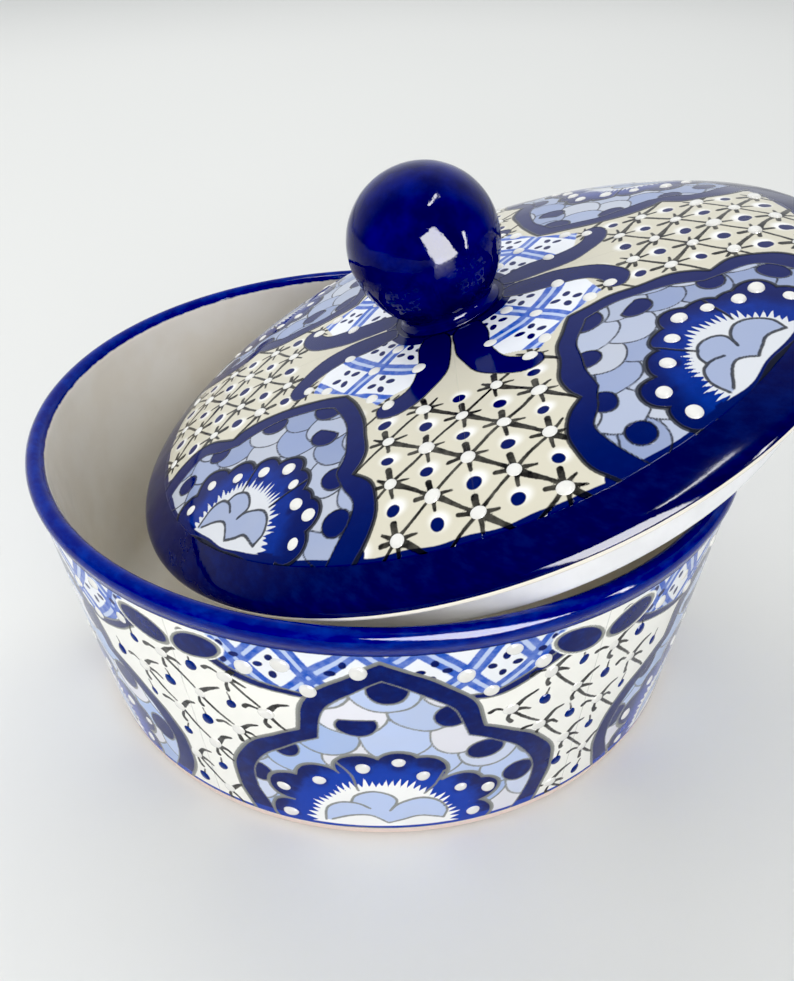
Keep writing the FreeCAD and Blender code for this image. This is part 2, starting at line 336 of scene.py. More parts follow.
DISH_STYLE = {
    "outer": [[(0, 93.5), (8, 88.6), (16, 83.2), (23.5, 76), (28, 68), (29.8, 57)],
              [(29.8, 57), (38, 52.5), (48, 44.5), (56, 34), (59, 21), (57, 8), (53, -2)]],
    "inner": [[(0, 84.5), (7, 80), (14.7, 74.5), (21, 66.5), (24, 53)],
              [(24, 53), (33, 48), (43, 39.5), (50.5, 27), (50.5, 15), (46, 3), (43, -2)]],
    "skew": 1.6,
    "moons": [(0.1, 80.5, 6.4, 7.0, 1), (-9.7, 62.0, 7.0, 6.2, 0.55), (20.1, 65.1, 6.2, 6.0, 1),
              (-35, 45.5, 5.2, 5.2, 1), (-47.1, 26.5, 5.6, 6.0, 1), (32.2, 43.2, 6.8, 5.4, 1),
              (46.5, 24.5, 6.2, 6.6, 1)],
    "scale": (21.0, 12.5, 11.2),
    "lobes": [(-36.5, 5, 8.0), (-35, 21.5, 8.8), (-24.5, 29, 9.0), (-10, 38, 8.8),
              (2.5, 40, 7.8), (10.5, 35, 9.2), (24.5, 23, 8.8), (31.5, 18.8, 7.8),
              (29.5, 4, 8.8)],
    "fan": (-3, 34.5, 37.5),
    "folds": [[(-18.1, 41.8), (-13.2, 33.1), (-10.6, 24.1)],
              [(18.3, 34.8), (15.9, 26.8), (11.9, 21.4)]],
    "burst": (-2.5, 30, 34, 6.5),
    "flower": (1.0, 0.0),
    "washes": DISH_WASHES,
    "chalk": CHALK,
    "glow": 1.0,
    "line": 0.8,
}
LID_STYLE = {
    "outer": [[(0, 69.5), (8, 66), (17, 61), (30, 51), (35, 44), (36.5, 38)],
              [(36.5, 38), (48, 35.5), (57, 24.5), (58.5, 13), (56, -4)]],
    "inner": [[(0, 62), (8, 59), (16, 54), (25, 45), (30, 36)],
              [(30, 36), (37, 31.5), (46.3, 26.6), (49.7, 12), (47, -4)]],
    "skew": 0.0,
    "moons": [(-1.5, 60.5, 6.5, 5.0, 1), (-20.5, 48, 5.4, 4.8, 1), (9.5, 48.5, 5.6, 4.8, 0.6),
              (-36, 30.5, 4.6, 4.4, 1), (-42, 15.5, 4.4, 4.4, 1), (30.5, 34, 5.2, 4.8, 1),
              (44, 20.5, 4.8, 4.8, 1), (-30, 3.5, 4.2, 3.6, 1)],
    "scale": (18.0, 10.0, 9.8),
    "lobes": [(-27.5, 7, 7.0), (-24.5, 17.5, 7.3), (-13.7, 22.6, 7.5), (-2.7, 27.5, 7.3),
              (7, 31, 7.0), (14.5, 26, 7.3), (22.5, 20, 7.2), (29.5, 18.5, 6.8), (31, 9, 7.2)],
    "fan": (2, 28.5, 29.5),
    "folds": [[(-9, 31), (-7, 25), (-5, 18)], [(19, 30), (16, 23), (13, 17)]],
    "burst": (1.5, 24, 27, 5.5),
    "flower": (0.8, 2.0),
    "washes": LID_WASHES,
    # Painted shade: the lid's white is the dish's chalk white made darker and greyer.
    "chalk": linear(216, 219, 224),
    "glow": 0.5,
    "line": 0.65,
}
FLOWER_LINES = [
    [(-23, 3.2), (-22.3, 11.3), (-18.4, 15.4), (-14.1, 16.1), (-10.5, 15.4), (-7, 13.2)],
    [(-14.1, 16.1), (-11.8, 20.9), (-6.1, 23.8), (-0.6, 22), (2.5, 18), (0.3, 12.2)],
    [(0.3, 12.2), (3.5, 16.6), (10.6, 19.1), (17, 16.6), (20.6, 10.4), (19, 4.2)],
    [(-20.7, 3.7), (-13.8, 7.6), (-6.5, 8.3), (-0.8, 2.9)],
    [(-0.8, 2.9), (5, 5.3), (10.8, 7.3), (19, 4.2)],
]


def paint_scales(canvas, style, inside, seed):
    """Fish-scale cells with uneven washes; upper rows lie over lower ones."""
    chance = np.random.default_rng(seed)
    pitch, rise, radius = style["scale"]
    line_field = np.full(len(canvas.x), FAR)
    ground = canvas.ground.copy()
    rows = int(100 / rise) + 1
    for row in range(rows):
        for column in range(-4, 5):
            cx = (column + 0.5 * (row % 2)) * pitch + chance.uniform(-1.6, 1.6)
            cy = 2.0 + row * rise + chance.uniform(-1.2, 1.2)
            wide = radius * chance.uniform(0.96, 1.1)
            scale = canvas.oval(cx, cy + 4.0, wide, radius * 1.02, chance.uniform(-12, 12))
            wash = np.array(style["washes"][chance.integers(len(style["washes"]))])
            ground[scale < 0] = wash * chance.uniform(0.94, 1.04)
            edge = np.abs(scale) - style["line"] / 2
            line_field = np.where(scale < 0.3, edge, np.minimum(line_field, edge))
    canvas.ground[inside < 0] = ground[inside < 0]
    canvas.add("line", line_field, inside)


def paint_fan(canvas, style, seed):
    """The scalloped cobalt fan with its white burst, three-lobed flower and painted shade round
    its dabs.
    """
    chance = np.random.default_rng(seed)
    x, y = canvas.x, canvas.y
    middle, wide, high = style["fan"]
    fan = canvas.oval(middle, 0.0, wide, high)
    for cx, cy, radius in style["lobes"]:
        fan = np.minimum(fan, canvas.oval(cx, cy, radius, radius))
    fan = np.maximum(fan, -y - 1.5)
    canvas.wipe(fan, style["chalk"])
    middle, wide, high, depth = style["burst"]
    spikes = 34
    reach = chance.uniform(0.0, 0.6, 2 * spikes) * depth
    turn = np.arctan2(np.maximum(y, -1.0) / high, (x - middle) / wide) / math.pi * spikes
    whole = np.floor(turn).astype(int)
    part = np.abs(turn - whole - 0.5) * 2.0
    star_field = canvas.oval(middle, 0.0, wide, high) + depth
    burst = star_field - (depth - reach[whole % (2 * spikes)]) * (1.0 - part)
    canvas.add("navy", fan, -burst * 0.55)
    inside = fan < 0
    canvas.bright[inside] = style["glow"] * (1.0 - band(star_field[inside], depth, 2.6 * depth))
    # Painted shade: the cobalt is darkened in a round spot under each dab, set a little off the
    # dab's middle.
    for cx, cy, radius in style["lobes"]:
        spot = canvas.oval(cx + 0.8, cy - 1.0, 5, 5)
        painted_dab_shade = np.minimum(canvas.bright, band(spot, -5, 0))
        canvas.bright[:] = np.where(spot < 0, painted_dab_shade, canvas.bright)
    canvas.add("line", np.abs(fan) - FAN_LINE)
    for fold in style["folds"]:
        canvas.add("line", canvas.stroke(curve(fold), 0.95), fan)
    scale, shift = style["flower"]
    lines = [curve(np.array(line) * scale + (shift, 0)) for line in FLOWER_LINES]
    for line in lines[:3]:
        outline = np.vstack([line, [(shift, 0)]])
        canvas.ground[canvas.area(outline) < 0] = style["washes"][1]
    for line in lines[3:]:
        under = np.vstack([line, [(line[-1][0], -4), (line[0][0], -4)]])
        canvas.ground[canvas.area(under) < 0] = style["chalk"]
    for line in lines:
        canvas.add("line", canvas.stroke(line, 1.0))


def paint_medallion(canvas, style, seed):
    """One ogee medallion: navy frame, scale cells, half-moons and the fan."""
    shift = style["skew"] * (1.0 - 2.0 * band(canvas.y, 45, 90))
    framed = canvas.placed(canvas.x - shift, canvas.y)
    outer = framed.area(medallion_outline(style["outer"]))
    inner = framed.area(medallion_outline(style["inner"]))
    canvas.wipe(outer, style["washes"][1])
    paint_scales(framed, style, inner, seed)
    for cx, cy, rx, ry, cut in style["moons"]:
        moon = np.maximum(canvas.oval(cx, cy, rx, ry), canvas.y - cy - cut * ry)
        moon = np.maximum(moon, inner)
        canvas.wipe(moon)
        canvas.add("navy", moon)
        canvas.add("line", np.abs(moon) - MOON_LINE, inner)
    canvas.add("navy", np.maximum(outer, -inner))
    canvas.add("line", np.abs(inner) - INNER_LINE)
    canvas.add("line", np.abs(outer) - FRAME_LINE)
    paint_fan(canvas, style, seed + 7)


# ---- dish panels

def commas(canvas, spot, seed):
    """Thin line and thick commas of dark slip round one white dab of the dish."""
    chance = np.random.default_rng(seed)
    marks = [([(1.4, -1.6), (5.4, -6.4), (DISH_COLUMN - 1.4, 2.4 - DISH_ROW)], (1.4, 1.0)),
             ([(1.8, 1.5), (4.6, 4.8), (8.0, 6.2)], (2.3, 1.0)),
             ([(-0.2, -2.4), (-0.5, -5.0), (0.2, -6.8)], (1.2, 1.9))]
    if chance.random() < 0.8:
        marks.append(([(-2.4, 0.8), (-5.0, 1.8), (-7.0, 1.0)], (0.9, 1.9)))
    if chance.random() < 0.65:
        marks.append(([(2.2, -0.4), (4.8, -1.0), (7.0, -2.6)], (2.0, 0.9)))
    for points, width in marks:
        jitter = chance.uniform(-0.4, 0.4, (len(points), 2))
        line = curve(np.array(points, float) + jitter + spot, 4)
        canvas.add("ink", canvas.stroke(line, width))


def stem(canvas, spot, seed):
    """The short stalk over one blue dab of the dish."""
    chance = np.random.default_rng(seed)
    x, y = spot
    sway = chance.uniform(-1.2, 1.2)
    line = curve([(x, y + 1.4), (x + 0.3 * sway, y + 3.4), (x + sway, y + 5.4)], 4)
    canvas.add("ink", canvas.stroke(line, (1.0, 0.7)))


def plaid_dots(canvas, middle, along, reach=2.7, size=1.35):
    """Four navy dots in a white square of plaid."""
    cx, cy = middle
    ax, ay = np.array(along) / np.hypot(*along)
    for u, v in ((-1, -1), (-1, 1), (1, -1), (1, 1)):
        x = cx + reach * (u * ax - v * ay)
        y = cy + reach * (u * ay + v * ax)
        turn = math.degrees(math.atan2(ay, ax)) + 35 * u * v
        canvas.add("navy", canvas.oval(x, y, size * 1.2, size * 0.9, turn))


def plaid_band(canvas, points, region):
    """A double brush stroke with a pale wash between its two lines."""
    line = curve(points, 4)
    along = np.gradient(line, axis=0)
    along /= np.hypot(along[:, 0], along[:, 1])[:, None]
    side = np.stack([-along[:, 1], along[:, 0]], 1)
    wash = np.maximum(canvas.stroke(line, PLAID_GAP * 1.6), region)
    canvas.tint((wash < 0) * 0.8, PLAID_WASH)
    for shift in (-PLAID_GAP / 2, PLAID_GAP / 2):
        canvas.add("brush", canvas.stroke(line + side * shift, PLAID_LINE), region)


SWAG_REGION = [(-61, 106), (-57, 94), (-50, 88), (-42, 84.8), (-33, 82.8), (-24, 81.0),
               (-12, 84), (12, 84), (25, 79.8), (31, 79.0), (38, 81.2), (46, 85.5),
               (53, 91), (60, 106)]
SWAG_BORDERS = [[(25, 79.2), (31, 79.0), (38, 81.0), (46, 85.2), (53, 90.6), (60, 97)],
                [(-24, 81.2), (-33, 82.6), (-42, 84.4), (-50, 87.6), (-57, 92.8), (-62, 98)]]
SWAG_BANDS = [[(10, 104), (23, 90.5), (36, 76)], [(35, 107), (45, 94), (54, 84)],
              [(14, 81), (23, 90.5), (33, 107)], [(31, 79), (41, 88), (50, 102)],
              [(-3, 94), (6, 103), (10, 108)]]


def paint_swag(canvas):
    """The plaid swags either side of the medallion's point, and the ovals beyond them."""
    lift = (0, -FOOT_LINE)
    region = canvas.area(np.array(SWAG_REGION) + lift)
    canvas.wipe(region, PLAID_GROUND)
    for side in (1, -1):
        for line in SWAG_BANDS:
            plaid_band(canvas, np.array(line, float) * (side, 1) + lift, region)
        for middle in ((13.0, 94.0), (34.5, 93.5), (49.5, 96.0)):
            plaid_dots(canvas, np.array(middle) * (side, 1) + lift, (0.68, -0.73 * side))
    for border in SWAG_BORDERS:
        line = canvas.stroke(curve(np.array(border) + lift), (2.4, 4.6))
        canvas.add("navy", line)
        canvas.add("line", np.abs(line) - SWAG_LINE)
    for side in (1, -1):
        oval = canvas.oval(side * 59.2, 94.0 - FOOT_LINE, 9.2, 5.3, side * -22)
        canvas.wipe(oval - 1.2, DISH_GROUND)
        canvas.add("navy", oval)
        canvas.add("line", np.abs(oval - 0.2) - SWAG_LINE)


def dish_lattice_places(kind, middle):
    """Dabs of one kind near a panel, as (across, up) from the medallion's middle."""
    places = []
    nearby = 38.0
    for panel in DABS[kind]:
        angle = np.degrees(np.arctan2(panel[:, 1], panel[:, 0]))
        offset = (angle - middle + 180.0) % 360.0 - 180.0
        for off, height in zip(offset, panel[:, 2]):
            if abs(off) < nearby:
                places.append((math.radians(off) * WALL_MID_RADIUS, height - FOOT_LINE))
    return places


def place_seed(middle, x, y):
    """A seed that both panels beside a dab agree on."""
    angle = (middle + math.degrees(x / WALL_MID_RADIUS)) % 360.0
    return int(round(angle * 2)) * 131 + int(round(y))


def paint_dish(canvas, panel):
    """Everything painted on one panel of the dish's wall."""
    middle = DISH_TURN + 360.0 / DISH_PANELS * panel
    for x, y in dish_lattice_places("dish_white_beads", middle):
        commas(canvas, (x, y), place_seed(middle, x, y))
    for x, y in dish_lattice_places("dish_blue_beads", middle):
        stem(canvas, (x, y), place_seed(middle, x, y))
    paint_swag(canvas)
    paint_medallion(canvas, DISH_STYLE, 20 + 3 * panel)
    height = canvas.points[:, 2]
    canvas.add("navy", np.minimum(height - FOOT_LINE - 1.1, RIM_PAINT_COAT - height))
    canvas.bright[height < FOOT_LINE + 2.5] = 0.95


def wall_section():
    """Radius at the foot of the dish's straight wall, and how fast it widens upwards."""
    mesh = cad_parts["dish_body"].data
    coords = np.array([vertex.co for vertex in mesh.vertices]) / MM
    radius = np.hypot(coords[:, 0], coords[:, 1])
    foot, shoulder = (radius[np.abs(coords[:, 2] - level) < 0.1].max()
                      for level in (WALL_FOOT, WALL_SHOULDER))
    return foot, (shoulder - foot) / (WALL_SHOULDER - WALL_FOOT)


FOOT_RADIUS, FLARE = wall_section()


def dish_panel(panel):
    """One painted panel of the wall, as a thin closed coat of glaze."""
    columns, rows = 231, 164
    half = 180.0 / DISH_PANELS
    offset = np.radians(np.linspace(-half, half, columns))
    height = np.linspace(PANEL_FOOT, PANEL_TOP, rows)
    middle = math.radians(DISH_TURN + 2 * half * panel)
    turn, level = np.meshgrid(offset + middle, height, indexing="ij")

    def sheet(lift):
        radius = FOOT_RADIUS + (level - WALL_FOOT) * FLARE + lift
        return np.stack([radius * np.cos(turn), radius * np.sin(turn), level], -1)

    front = sheet(COAT_PROUD)
    x = np.repeat(offset * WALL_MID_RADIUS, rows)
    y = np.tile(height - FOOT_LINE, columns)
    canvas = Canvas(x, y, front.reshape(-1, 3), DISH_GROUND, 5)
    paint_dish(canvas, panel)
    back = sheet(-COAT_SUNK)[:, [0, -1]]
    return coat("dish_paint_%d" % (panel + 1), front, back, canvas, "dish")


# ---- lid panels

def star(canvas, spot, seed):
    """Lattice lines and ticks of dark slip round one white dab of the lid."""
    chance = np.random.default_rng(seed)
    column, row = LID_COLUMN, LID_ROW
    marks = [((0.6, 0.5), (column, row), (1.6, 1.3)),
             ((0, 0), (-column, row), (1.2, 1.2)),
             ((0.8, 0.8), (0.62 * column, 0.62 * row), (2.7, 1.4)),
             ((0, 0), (-0.35 * column, -0.35 * row), (2.0, 1.0)),
             ((0, 0), (0.2, 6.0), (1.8, 1.2)), ((0, 0), (-0.2, -5.8), (1.9, 2.3)),
             ((0, 0), (6.2, 0.4), (1.9, 0.8)), ((0, 0), (-5.6, -0.6), (1.6, 1.6)),
             ((0, 0), (0.36 * column, -0.36 * row), (1.8, 0.8))]
    for start, end, width in marks:
        jitter = chance.uniform(-0.25, 0.25, (2, 2))
        canvas.add("ink", canvas.stroke(np.array([start, end]) + jitter + spot, width))


def paint_lid_lattice(canvas, panel):
    """Crossing lines, stars and navy dots of one lattice, each dot ringed by a painted highlight.
    """
    middle = LID_TURN + LID_STEP * (panel + 0.5)
    points = in_lid_frame(DABS["lid_white_beads"][panel])
    across, outward = turned(points, middle)
    dots = set()
    for x, y in zip(across, outward):
        for dx, dy in ((LID_COLUMN, 0), (-LID_COLUMN, 0), (0, LID_ROW), (0, -LID_ROW)):
            dots.add((round((x + dx) * 2) / 2, round((y + dy) * 2) / 2))
    for x, y in sorted(dots):
        chance = np.random.default_rng(int(abs(x * 31 + y * 17)) + panel)
        cx, cy = np.array((x, y)) + chance.uniform(-0.5, 0.5, 2)
        # Painted highlight: a white rim round each navy dot, a little off its middle, stands for
        # the glint on a raised dot's edge.
        dot_highlight = canvas.oval(cx + 0.9, cy - 0.9, 4.6, 4.0)
        canvas.tint(1.0 - band(dot_highlight, -3.2, 0.2), CHALK)
        size = chance.uniform(1.85, 2.25)
        canvas.add("navy", canvas.oval(cx, cy, size * 1.12, size, chance.uniform(-25, 15)))
    for number, spot in enumerate(zip(across, outward)):
        star(canvas, spot, 300 + 40 * panel + number)


CROWN_PATCH = [(-9, 19), (-21, 38), (-24, 47), (-18, 59), (0, 56), (18, 59), (24, 47),
               (21, 38), (9, 19)]
CROWN_CRESCENT = [(11, 18), (14, 17), (19, 19.5), (24, 25), (29, 31), (34, 41), (34.3, 52),
                  (31, 61), (24, 64.5), (20, 60.5), (24, 55), (24.5, 48), (19.5, 39), (12, 30),
                  (8, 22)]


def paint_crown(canvas):
    """The plaid patch above the medallion and the navy crescents beside it."""
    patch = canvas.area(CROWN_PATCH)
    canvas.wipe(patch, PLAID_GROUND)
    for line in ([(0, 20), (0.4, 40), (0, 60)], [(-25, 37), (0, 42), (25, 37)],
                 [(-24, 55.5), (0, 59), (24, 55.5)]):
        plaid_band(canvas, line, patch)
    for middle in ((-8.2, 30), (8.2, 30), (-10.5, 49), (10.5, 49)):
        plaid_dots(canvas, middle, (1, 0.1), 2.6, 1.5)
    for side in (1, -1):
        crescent = canvas.area(curve(np.array(CROWN_CRESCENT, float) * (side, 1), 3))
        canvas.wipe(crescent)
        canvas.add("navy", crescent)
        canvas.add("line", np.abs(crescent) - CRESCENT_LINE)


def paint_lid(canvas, panel):
    """Everything painted on one panel of the lid's top."""
    x, y = canvas.x, canvas.y
    half = math.pi / LID_PANELS
    for side in (1, -1):
        c, s = math.cos(half), side * math.sin(half)
        beside = canvas.placed(x * c - y * s, x * s + y * c)
        paint_lid_lattice(beside, (panel if side > 0 else panel - 1) % LID_PANELS)
    paint_crown(canvas)
    paint_medallion(canvas.placed(x, LID_BAND - y), LID_STYLE, 60 + 3 * panel)
    radius = np.hypot(x, y)
    canvas.add("navy", np.minimum(LID_BAND - radius, radius - KNOB_SEAT))
    canvas.bright[radius > LID_BAND - 0.5] = 0.0


def fitted_dome():
    """Height of the lid's top over its radius, as a smooth curve through the CAD dome."""
    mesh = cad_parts["lid_dome"].data
    coords = in_lid_frame([vertex.co / MM for vertex in mesh.vertices])
    reach = np.hypot(coords[:, 0], coords[:, 1])
    top = (coords[:, 2] > 29.0) & (reach > 21.9)
    top &= coords[:, 2] > 42.5 - 0.00066 * reach ** 2
    return np.polynomial.Polynomial.fit(reach[top], coords[top, 2], 6)


dome_heights = fitted_dome()


def lid_panel(panel):
    """One painted panel of the lid's top, as a thin closed coat of glaze."""
    columns, rows, back_rows = 334, 181, 13
    middle = LID_TURN + LID_STEP * panel
    angle = np.radians(np.linspace(-LID_STEP / 2, LID_STEP / 2, columns) + middle)

    def sheet(reach, lift):
        turn, radius = np.meshgrid(angle, reach, indexing="ij")
        return np.stack([radius * np.cos(turn), radius * np.sin(turn),
                         dome_heights(radius) + lift], -1)

    reach = np.linspace(LID_PANEL_INNER, LID_PANEL_OUTER, rows)
    front = sheet(reach, COAT_PROUD * (0.2 + 0.8 * band(LID_PANEL_OUTER - reach, 0.0, 2.0)))
    back = sheet(reach[::(rows - 1) // (back_rows - 1)], -COAT_SUNK)
    offset = np.linspace(-math.pi, math.pi, columns) / LID_PANELS
    x = (np.sin(offset)[:, None] * reach).reshape(-1)
    y = (np.cos(offset)[:, None] * reach).reshape(-1)
    canvas = Canvas(x, y, front.reshape(-1, 3), LID_GROUND, 11, math.radians(middle - 90.0))
    paint_lid(canvas, panel)
    return coat("lid_paint_%d" % (panel + 1), front, back, canvas, "lid")


# ---- meshes

def add_object(name, data):
    """A new object of the scene."""
    thing = bpy.data.objects.new(name, data)
    bpy.context.scene.collection.objects.link(thing)
    return thing


def make_object(name, verts, faces, body):
    """A smooth mesh object riding on a CAD body, from millimetres in the body's frame."""
    verts = np.asarray(verts, float)
    if body == "lid":
        verts = verts @ np.array(LID_FRAME.to_3x3()).T + np.array(LID_FRAME.translation)
    mesh = bpy.data.meshes.new(name)
    mesh.from_pydata((verts * MM).tolist(), [], faces)
    mesh.validate()
    mesh.polygons.foreach_set("use_smooth", [True] * len(mesh.polygons))
    mesh.update()
    piece = add_object(name, mesh)
    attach(piece, body)
    return piece


def grid_faces(start, columns, rows, flip=False, wraps=(False, False)):
    """Quads of a grid of vertices stored column by column, joined up where it wraps."""
    faces = []
    for column in range(columns if wraps[0] else columns - 1):
        a = start + column * rows
        b = start + (column + 1) % columns * rows
        for row in range(rows if wraps[1] else rows - 1):
            up = (row + 1) % rows
            quad = (a + row, b + row, b + up, a + up)
            faces.append(quad[::-1] if flip else quad)
    return faces


def coat(name, front, back, canvas, body):
    """A closed thin sheet: a fine painted front, a coarse hidden back and flat sides."""
    columns, rows = front.shape[:2]
    back_rows = back.shape[1]
    verts = np.vstack([front.reshape(-1, 3), back.reshape(-1, 3)])
    second = columns * rows
    outward = body == "dish"
    faces = grid_faces(0, columns, rows, not outward)
    faces += grid_faces(second, columns, back_rows, outward)
    for row, back_row in ((0, 0), (rows - 1, back_rows - 1)):
        for column in range(columns - 1):
            a = column * rows + row
            b = second + column * back_rows + back_row
            quad = (a, a + rows, b + back_rows, b)
            faces.append(quad if (row > 0) == outward else quad[::-1])
    for column in (0, columns - 1):
        edge = [column * rows + row for row in range(rows)]
        hidden = [second + column * back_rows + row for row in range(back_rows)]
        loop = edge + hidden[::-1]
        faces.append(tuple(loop if (column == 0) == outward else loop[::-1]))
    piece = make_object(name, verts, faces, body)
    extra = (0, columns * back_rows)
    store(piece, "bright", np.pad(canvas.bright, extra))
    for layer, field in canvas.layers.items():
        hidden = -CLEAR if layer == "navy" else CLEAR
        store(piece, layer, np.pad(np.clip(field, -CLEAR, CLEAR), extra, constant_values=hidden))
    ground = np.pad(np.vstack([canvas.ground, np.tile(CREAM, (extra[1], 1))]), ((0, 0), (0, 1)),
                    constant_values=1.0)
    store(piece, "ground", ground, "FLOAT_COLOR", "color")
    return piece


def store(piece, name, values, kind="FLOAT", field="value"):
    """A number or a colour for each vertex, for the shader."""
    attribute = piece.data.attributes.new(name, kind, "POINT")
    attribute.data.foreach_set(field, np.asarray(values, np.float32).ravel())


def seam(node, body):
    """A turned CAD node's outline as ordered (radius, height), and whether it is closed."""
    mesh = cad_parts[node].data
    coords = np.array([vertex.co / MM for vertex in mesh.vertices])
    if body == "lid":
        coords = in_lid_frame(coords)
    on_seam = (np.abs(coords[:, 1]) < 0.02) & (coords[:, 0] > -0.02)
    key = {index: (round(coords[index, 0], 1), round(coords[index, 2], 1))
           for index in np.flatnonzero(on_seam)}
    links = {}
    for edge in mesh.edges:
        a, b = edge.vertices
        if a in key and b in key and key[a] != key[b]:
            links.setdefault(key[a], set()).add(key[b])
            links.setdefault(key[b], set()).add(key[a])
    ends = sorted((spot for spot in links if len(links[spot]) == 1), key=lambda s: s[1])
    here = ends[0] if ends else min(links)
    outline, seen = [here], {here}
    while True:
        ahead = sorted(spot for spot in links[here] if spot not in seen)
        if not ahead:
            break
        here = ahead[0]
        seen.add(here)
        outline.append(here)
    return np.array(outline), not ends


def refined(outline, closed, step):
    """The outline resampled at even steps and with its corners softened."""
    if closed:
        outline = np.vstack([outline, outline[:1]])
    along = np.concatenate([[0], np.cumsum(np.hypot(*np.diff(outline, axis=0).T))])
    count = int(along[-1] / step)
    marks = np.linspace(0, along[-1], count + 1)
    line = np.stack([np.interp(marks, along, outline[:, 0]),
                     np.interp(marks, along, outline[:, 1])], 1)
    if closed:
        line = line[:-1]
    rounds = 3
    for _ in range(rounds):
        if closed:
            line = (np.roll(line, 1, 0) + 2 * line + np.roll(line, -1, 0)) / 4
        else:
            line[1:-1] = (line[:-2] + 2 * line[1:-1] + line[2:]) / 4
    return line


def turned_object(name, node, body, step, segments):
    """A fine turned mesh that stands for a turned CAD node. Also gives its section."""
    outline, closed = seam(node, body)
    line = refined(outline, closed, step)
    turn = np.linspace(0, 2 * math.pi, segments, endpoint=False)
    verts = [(r * math.cos(t), r * math.sin(t), z) for t in turn for r, z in line]
    rows = len(line)
    faces = grid_faces(0, segments, rows, wraps=(True, closed))
    if not closed:
        for row in (0, rows - 1):
            ring = [column * rows + row for column in range(segments)]
            faces.append(tuple(ring if row else ring[::-1]))
    piece = make_object(name, verts, faces, body)
    facing(piece)
    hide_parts(node)
    return piece, np.tile(line, (segments, 1))


def facing(piece):
    """Turn every face of a closed mesh outwards."""
    work = bmesh.new()
    work.from_mesh(piece.data)
    bmesh.ops.recalc_face_normals(work, faces=work.faces)
    work.to_mesh(piece.data)
    work.free()


# ---- materials

class Nodes:
    """Short calls for building the node tree of a material or of the world."""

    def __init__(self, owner):
        owner.use_nodes = True
        self.owner = owner
        self.tree = owner.node_tree

    def make(self, kind, **values):
        node = self.tree.nodes.new(kind)
        for name, value in values.items():
            setattr(node, name, value)
        return node

    def link(self, out, socket):
        self.tree.links.new(out, socket)

    def feed(self, socket, value):
        if isinstance(value, bpy.types.NodeSocket):
            self.link(value, socket)
        elif socket.type == "RGBA":
            socket.default_value = (*value, 1.0)
        else:
            socket.default_value = value

    def attribute(self, name, output="Fac"):
        return self.make("ShaderNodeAttribute", attribute_name=name).outputs[output]

    def noise(self, scale, detail=3.0, roughness=0.5, stretch=None):
        place = self.make("ShaderNodeTexCoord").outputs["Object"]
        if stretch:
            mapping = self.make("ShaderNodeMapping")
            self.feed(mapping.inputs["Scale"], stretch)
            self.link(place, mapping.inputs["Vector"])
            place = mapping.outputs["Vector"]
        node = self.make("ShaderNodeTexNoise")
        for name, value in (("Vector", place), ("Scale", scale), ("Detail", detail),
                            ("Roughness", roughness)):
            self.feed(node.inputs[name], value)
        return node.outputs["Fac"]

    def math(self, operation, a, b=0.0, c=0.0):
        node = self.make("ShaderNodeMath", operation=operation)
        for socket, value in zip(node.inputs, (a, b, c)):
            self.feed(socket, value)
        return node.outputs[0]

    def ramp(self, value, low, high, start=0.0, end=1.0):
        node = self.make("ShaderNodeMapRange", interpolation_type="SMOOTHSTEP")
        for name, given in (("Value", value), ("From Min", low), ("From Max", high),
                            ("To Min", start), ("To Max", end)):
            self.feed(node.inputs[name], given)
        return node.outputs["Result"]

    def mix(self, share, first, second):
        node = self.make("ShaderNodeMix", data_type="RGBA")
        share_socket, first_colour, second_colour, mixed_colour = 0, 6, 7, 2
        for number, value in ((share_socket, share), (first_colour, first),
                              (second_colour, second)):
            self.feed(node.inputs[number], value)
        return node.outputs[mixed_colour]

    def bump(self, height, distance):
        node = self.make("ShaderNodeBump")
        node.inputs["Distance"].default_value = distance
        self.link(height, node.inputs["Height"])
        return node.outputs["Normal"]

    def finish(self, colour, roughness, normal=None, shine=0.22):
        inputs = {"Base Color": colour, "Roughness": roughness, "IOR": 1.52,
                  "Specular IOR Level": shine}
        if normal is not None:
            inputs["Normal"] = normal
        for name, value in inputs.items():
            self.feed(self.tree.nodes["Principled BSDF"].inputs[name], value)
        return self.owner


def glaze_waves(nodes, strength):
    """Slow unevenness of a fired glaze, with fine orange peel on top of it."""
    slow = nodes.noise(42.0, 2.0)
    fine = nodes.noise(620.0, 2.0)
    both = nodes.math("MULTIPLY_ADD", fine, 0.06, slow)
    return nodes.math("MULTIPLY", both, strength)


